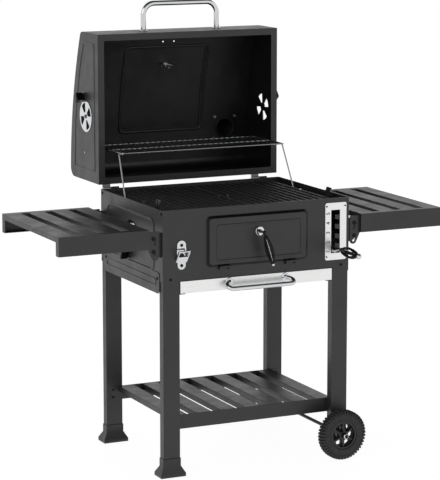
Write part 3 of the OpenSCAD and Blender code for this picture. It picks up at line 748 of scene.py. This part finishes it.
def thermometer():
    """A round dial in a bright bezel, with a needle, on a stem that goes through the lid."""
    tilt = math.radians(16.6)
    axis = Vector((0, math.cos(tilt), math.sin(tilt)))
    up = Vector((0, -math.sin(tilt), math.cos(tilt)))
    points = [v.co for v in frame["nodes"]["thermometer"].data.vertices]
    top = max(p.dot(axis) for p in points)
    faces = [p for p in points if p.dot(axis) > top - 0.1 * MM]
    centre = sum(faces, Vector()) / len(faces)
    body = BODY_OF["thermometer"]
    rim = 30
    back = cut(cad_shape("thermometer"), centre - axis * 9.02 * MM, axis)
    made("thermometer_stem", back, body, "chrome", 0.4 * MM, ["thermometer"])
    nut = bmesh.new()
    collar = [(3.4, -23), (6.5, -23), (8.5, -21), (8.5, -19), (3.4, -19), (3.4, -23)]
    lathe(nut, [(a * MM, b * MM) for a, b in collar], centre, axis, 32)
    for way in (-1, 1):
        wing = up.cross(axis) * way
        tube(nut, [centre - axis * 21 * MM + wing * 5 * MM, centre - axis * 25 * MM + wing * 12 * MM,
                   centre - axis * 29 * MM + wing * 17 * MM], 2.4 * MM)
    made("thermometer_wing_nut", nut, body, "zinc", angle=40)
    profile = [(0, -9), (rim, -9), (rim, -2.5), (rim - 1.2, -0.5), (rim - 2.4, 0), (rim - 3.4, -0.6),
               (rim - 3.8, -2.4), (0, -2.4)]
    bezel = lathe(bmesh.new(), [(a * MM, b * MM) for a, b in profile], centre, axis, 96)
    made("thermometer_bezel", bezel, body, "chrome", angle=35)
    plate = lathe(bmesh.new(), [(0, -2.4 * MM), (26 * MM, -2.4 * MM), (26 * MM, -2.1 * MM), (0, -2.1 * MM)],
                  centre, axis, 96)
    made("thermometer_dial", plate, body, "steel", material=DIAL, angle=35)
    marks = bmesh.new()
    side = up.cross(axis)

    def mark(angle, start, end, width):
        a = math.radians(angle)
        out = up * math.cos(a) + side * math.sin(a)
        across = axis.cross(out) * width / 2
        foot = centre - axis * 2.15 * MM
        corners = [foot + out * start + across, foot + out * end + across, foot + out * end - across,
                   foot + out * start - across]
        lower = [marks.verts.new(p) for p in corners]
        upper = [marks.verts.new(p + axis * 0.2 * MM) for p in corners]
        marks.faces.new(upper)
        bridge(marks, [lower, upper])
        marks.faces.new(list(reversed(lower)))

    for k in range(28):
        mark(-135 + 10 * k, (19 if k % 3 == 0 else 21) * MM, 24 * MM, (0.9 if k % 3 == 0 else 0.45) * MM)
    made("thermometer_marks", marks, body, "plastic", material=INK, angle=35)
    marks = bmesh.new()
    mark(-128, -6 * MM, 20 * MM, 1.2 * MM)
    boss = [(0, -2.2 * MM), (3 * MM, -2.2 * MM), (2.6 * MM, -1.4 * MM), (0, -1.3 * MM)]
    lathe(marks, boss, centre, axis, 24)
    made("thermometer_needle", marks, body, "plastic", angle=35)


# ---- Pieces: firebox sides, skirts, drawer and height plate ----

def bead_loop(name, centre, half_y, half_z, radius, body, side, profile):
    """A pressed bead in the form of a rounded rectangle on a side panel."""
    path = [centre + Vector((0, a, b)) for a, b in rounded_loop(half_y, half_z, radius)]
    shape = sweep(bmesh.new(), path, [Vector((side, 0, 0))] * len(path), profile)
    made(name, shape, body, "black_coat", angle=50)


def side_beads():
    """Pressed beads on the firebox sides and the skirts."""
    for side, name in ((-1, "left"), (1, "right")):
        skirt_low, skirt_high, skirt_middle = span("skirt_" + name)
        face = Vector((skirt_low.x if side > 0 else skirt_high.x, MIDDLE_Y + 5 * MM, 649 * MM))
        bead_loop("firebox_bead_" + name, face, 165 * MM, 71 * MM, 20 * MM, BODY_OF["firebox_left"], side,
                  ridge(8 * MM, 2.2 * MM, 0.5 * MM))
        outer = Vector((skirt_high.x if side > 0 else skirt_low.x, MIDDLE_Y, skirt_middle.z))
        bead_loop("skirt_bead_" + name, outer, 176 * MM, 9 * MM, 8.9 * MM, BODY_OF["skirt_left"], side,
                  ridge(6 * MM, 1.6 * MM, 0.5 * MM))


def digit(value, place, size):
    """A printed figure that lies on its side on the height plate."""
    curve = bpy.data.curves.new("digit_curve", "FONT")
    curve.body = str(value)
    curve.size = size
    curve.extrude = 0.08 * MM
    curve.offset = 0.35 * MM
    curve.resolution_u = 4
    curve.align_x, curve.align_y = "CENTER", "CENTER"
    source = new_object("digit_source", curve)
    graph = bpy.context.evaluated_depsgraph_get()
    mesh = bpy.data.meshes.new_from_object(source.evaluated_get(graph))
    bpy.data.objects.remove(source)
    turn = Matrix.Rotation(math.radians(90), 4, "X") @ Matrix.Rotation(math.radians(90), 4, "Z")
    mesh.transform(Matrix.Translation(place) @ turn)
    piece = new_object("height_digit_%d" % value, mesh)
    settle(piece, BODY_OF["height_plate"], "steel", material=INK)


def height_scale():
    """The plate beside the slot, with a figure for each notch."""
    refined("height_plate", 0.35 * MM, material=PALE_STEEL)
    low = span("height_plate")[0]
    first, pitch = 601 * MM, 27.4 * MM
    for k in range(5):
        digit(k + 1, Vector((low.x + 9.5 * MM, low.y - 0.05 * MM, first + pitch * k)), 16 * MM)


def drawer():
    """The drawer front and its bow handle on two round flanges."""
    refined("drawer_front", 0.35 * MM, material=PALE_STEEL)
    refined("drawer_handle", 0.3 * MM)
    _, high, middle = span("drawer_handle")
    front = span("drawer_front")[0].y
    for side in (-1, 1):
        centre = Vector((middle.x + side * 87 * MM, front, high.z - 7 * MM))
        profile = [(0, 0.2), (11, 0.2), (11, 1.6), (9.6, 2.6), (7.4, 3.0), (0, 3.0)]
        flange = lathe(bmesh.new(), [(a * MM, b * MM) for a, b in profile], centre, (0, -1, 0), 48)
        made("drawer_flange_" + ("left" if side < 0 else "right"), flange, BODY_OF["drawer_handle"],
             "chrome", angle=35)


# ---- Pieces: grates and wheels ----

def grate(node):
    """Cast bars with rounded edges; the lifting studs are bright."""
    high = span(node)[1]
    top = Vector((0, 0, high.z - 3.98 * MM))
    made(node + "_bars", cut(cad_shape(node), top, (0, 0, 1)), BODY_OF[node], "enamel", 1.4 * MM, [node])
    made(node + "_studs", cut(cad_shape(node), top, (0, 0, -1)), BODY_OF[node], "chrome", 1.2 * MM)


def tyre(node):
    """A tyre with two rows of lugs, a little out of step, and a plain side wall."""
    middle = span(node)[2]
    lugs, steps = 46, 6
    # Radius, place across the tyre and row of lugs (0 for none), from one bead to the middle.
    half = [(40.2, -13.0, 0), (41.2, -14.8, 0), (43.5, -15.8, 0), (46, -16, 0), (47, -15.2, 0),
            (58, -15.0, 0), (59.5, -15.8, 1), (63.5, -15.9, 1), (69.6, -13.4, 1), (72.3, -9.6, 1),
            (72.5, -1.2, 1), (70.6, -0.5, 0)]
    section = half + [(radius, -along, 2 * row) for radius, along, row in reversed(half)]
    shape = bmesh.new()
    rings = []
    for k in range(lugs * steps):
        a = 2 * math.pi * k / (lugs * steps)
        ring = []
        for radius, along, row in section:
            phase = (k + (1 if row == 2 else 0)) % steps
            cut_back = row and phase >= 4
            r = radius - (4.2 if cut_back and radius > 66 else 1.6 if cut_back else 0)
            w = along * (0.9 if cut_back and radius < 71 else 1)
            ring.append(shape.verts.new((middle.x + r * MM * math.cos(a), middle.y + w * MM,
                                         middle.z + r * MM * math.sin(a))))
        rings.append(ring)
    for one, two in zip(rings, rings[1:] + rings[:1]):
        for k in range(len(section)):
            n = (k + 1) % len(section)
            shape.faces.new((one[k], one[n], two[n], two[k]))
    made(node + "_lugs", shape, BODY_OF[node], "tyre", replaced=[node], angle=28)


def hub(node):
    """A moulded hub: the CAD hub with ribs as spokes between its holes."""
    middle = span(node)[2]
    refined(node, 0.8 * MM)
    ribs = bmesh.new()
    for k in range(6):
        turn = Matrix.Rotation(math.radians(30 + 60 * k), 3, "Y")
        for side in (-1, 1):
            corners = [(12.5, 1), (35.5, 1), (35.5, 9), (12.5, 13)]
            lower, upper = [], []
            for r, h in corners:
                for row, w in ((lower, -2.6), (upper, 2.6)):
                    spot = turn @ Vector((r * MM, side * h * MM, w * MM))
                    row.append(ribs.verts.new(middle + spot))
            ribs.faces.new(lower)
            ribs.faces.new(list(reversed(upper)))
            bridge(ribs, [lower, upper])
    made(node + "_spokes", ribs, BODY_OF[node], "plastic", 0.7 * MM)


def axle():
    """The axle, with a bright ring on each end."""
    refined("axle", 0.6 * MM, material=GLOSS)
    low, high, middle = span("axle")
    for side, name in ((-1, "front"), (1, "rear")):
        end = Vector((middle.x, low.y if side < 0 else high.y, middle.z))
        profile = [(3.2, -4), (7.4, -4), (7.4, -1.4), (6.2, 0), (4, 0), (3.2, -0.8), (3.2, -4)]
        ring = lathe(bmesh.new(), [(a * MM, b * MM) for a, b in profile], end, (0, side, 0), 40)
        made("axle_ring_" + name, ring, BODY_OF["axle"], "chrome", angle=40)


# ---- All the pieces ----

LID_TREE = BVHTree.FromObject(frame["nodes"]["lid_wrap"], bpy.context.evaluated_depsgraph_get())
EDGE_WIDTH = {"bottle_opener": 0.8 * MM, "foot_front_left": 1.5 * MM, "foot_rear_left": 1.5 * MM}
# Nodes whose pieces are made by a function of their own, or with a special material.
OWN = {"charcoal_door", "latch_handle", "latch_rose", "pan_carrier", "lever_grip", "lid_wrap",
       "lid_side_left", "lid_side_right", "lid_rim", "thermometer", "height_plate", "drawer_front",
       "drawer_handle", "grate_left", "grate_right", "tyre_front", "tyre_rear", "hub_front", "hub_rear",
       "axle", "cart_screws", "shoulder_screws", "warming_rack", "rack_leg_left", "rack_leg_right",
       "box_vent_left", "box_vent_right", "lid_vent_left", "lid_vent_right"}

for node in sorted(set(frame["nodes"]) - OWN):
    refined(node, EDGE_WIDTH.get(node, 0.5 * MM))
for place in ("box", "lid"):
    vent(place + "_vent_left")
    vent(place + "_vent_right")
for end in ("front", "rear"):
    tyre("tyre_" + end)
    hub("hub_" + end)
for end in ("left", "right"):
    grate("grate_" + end)
screws("cart_screws")
refined("shoulder_screws", 0.8 * MM, material=GLOSS)
for node in ("warming_rack", "rack_leg_left", "rack_leg_right"):
    refined(node, 0.3 * MM, material=WIRE)
stoking_door()
latch()
lever()
lid_pieces()
thermometer()
side_beads()
height_scale()
drawer()
axle()


# ---- Floor, backdrop and light ----

def studio():
    """A white floor and a room with bright walls and a dark ceiling."""
    floor_mesh = bpy.data.meshes.new("floor")
    shape = bmesh.new()
    bmesh.ops.create_circle(shape, cap_ends=True, segments=96, radius=14)
    shape.to_mesh(floor_mesh)
    shape.free()
    floor = new_object("floor", floor_mesh)
    floor.location.z = cad_box[0].z - 0.0005
    paint = Paint("studio_floor", (0.2, 0.2, 0.2), 0.9, specular=0.1)
    paint.tint(paint.noise(0.6), (0.19, 0.19, 0.19))
    socket(paint.shader, "Emission Color", (1, 1, 1, 1))
    socket(paint.shader, "Emission Strength", 0.93)
    floor.data.materials.append(paint.material)

    # The camera sees plain white behind the grill; everything else sees the room.
    world = bpy.data.worlds.new("studio")
    bpy.context.scene.world = world
    world.use_nodes = True
    nodes, links = world.node_tree.nodes, world.node_tree.links
    background = nodes["Background"]
    coordinates = nodes.new("ShaderNodeTexCoord")
    split = nodes.new("ShaderNodeSeparateXYZ")
    ramp = nodes.new("ShaderNodeValToRGB")
    walls = ramp.color_ramp
    walls.elements[0].position, walls.elements[0].color = 0.0, (0.9, 0.9, 0.9, 1)
    walls.elements[1].position, walls.elements[1].color = 1.0, (0.05, 0.05, 0.05, 1)
    for spot, level in ((0.3, 1.0), (0.5, 0.9), (0.62, 0.12)):
        walls.elements.new(spot).color = (level, level, level, 1)
    links.new(coordinates.outputs["Generated"], split.inputs["Vector"])
    links.new(split.outputs["Z"], ramp.inputs["Fac"])
    view = nodes.new("ShaderNodeLightPath")
    mix = nodes.new("ShaderNodeMix")
    mix.data_type = "RGBA"
    mix.inputs["B"].default_value = (1, 1, 1, 1)
    links.new(view.outputs["Is Camera Ray"], mix.inputs["Factor"])
    links.new(ramp.outputs["Color"], mix.inputs["A"])
    links.new(mix.outputs["Result"], background.inputs["Color"])
    background.inputs["Strength"].default_value = 1.0
    bpy.context.scene.view_settings.view_transform = "Standard"


def soft_box(name, place, target, size, power):
    """A rectangular area light at a place, turned to a target."""
    light = bpy.data.objects.new(name, bpy.data.lights.new(name, "AREA"))
    light.data.shape = "RECTANGLE"
    light.data.size, light.data.size_y = size
    light.data.energy = power
    light.location = place
    direction = Vector(target) - Vector(place)
    light.rotation_mode = "QUATERNION"
    light.rotation_quaternion = direction.to_track_quat("-Z", "Y")
    bpy.context.scene.collection.objects.link(light)


studio()
soft_box("key", (-4.5, -1.5, 3.2), (0, 0, 0.7), (3, 3), 24)
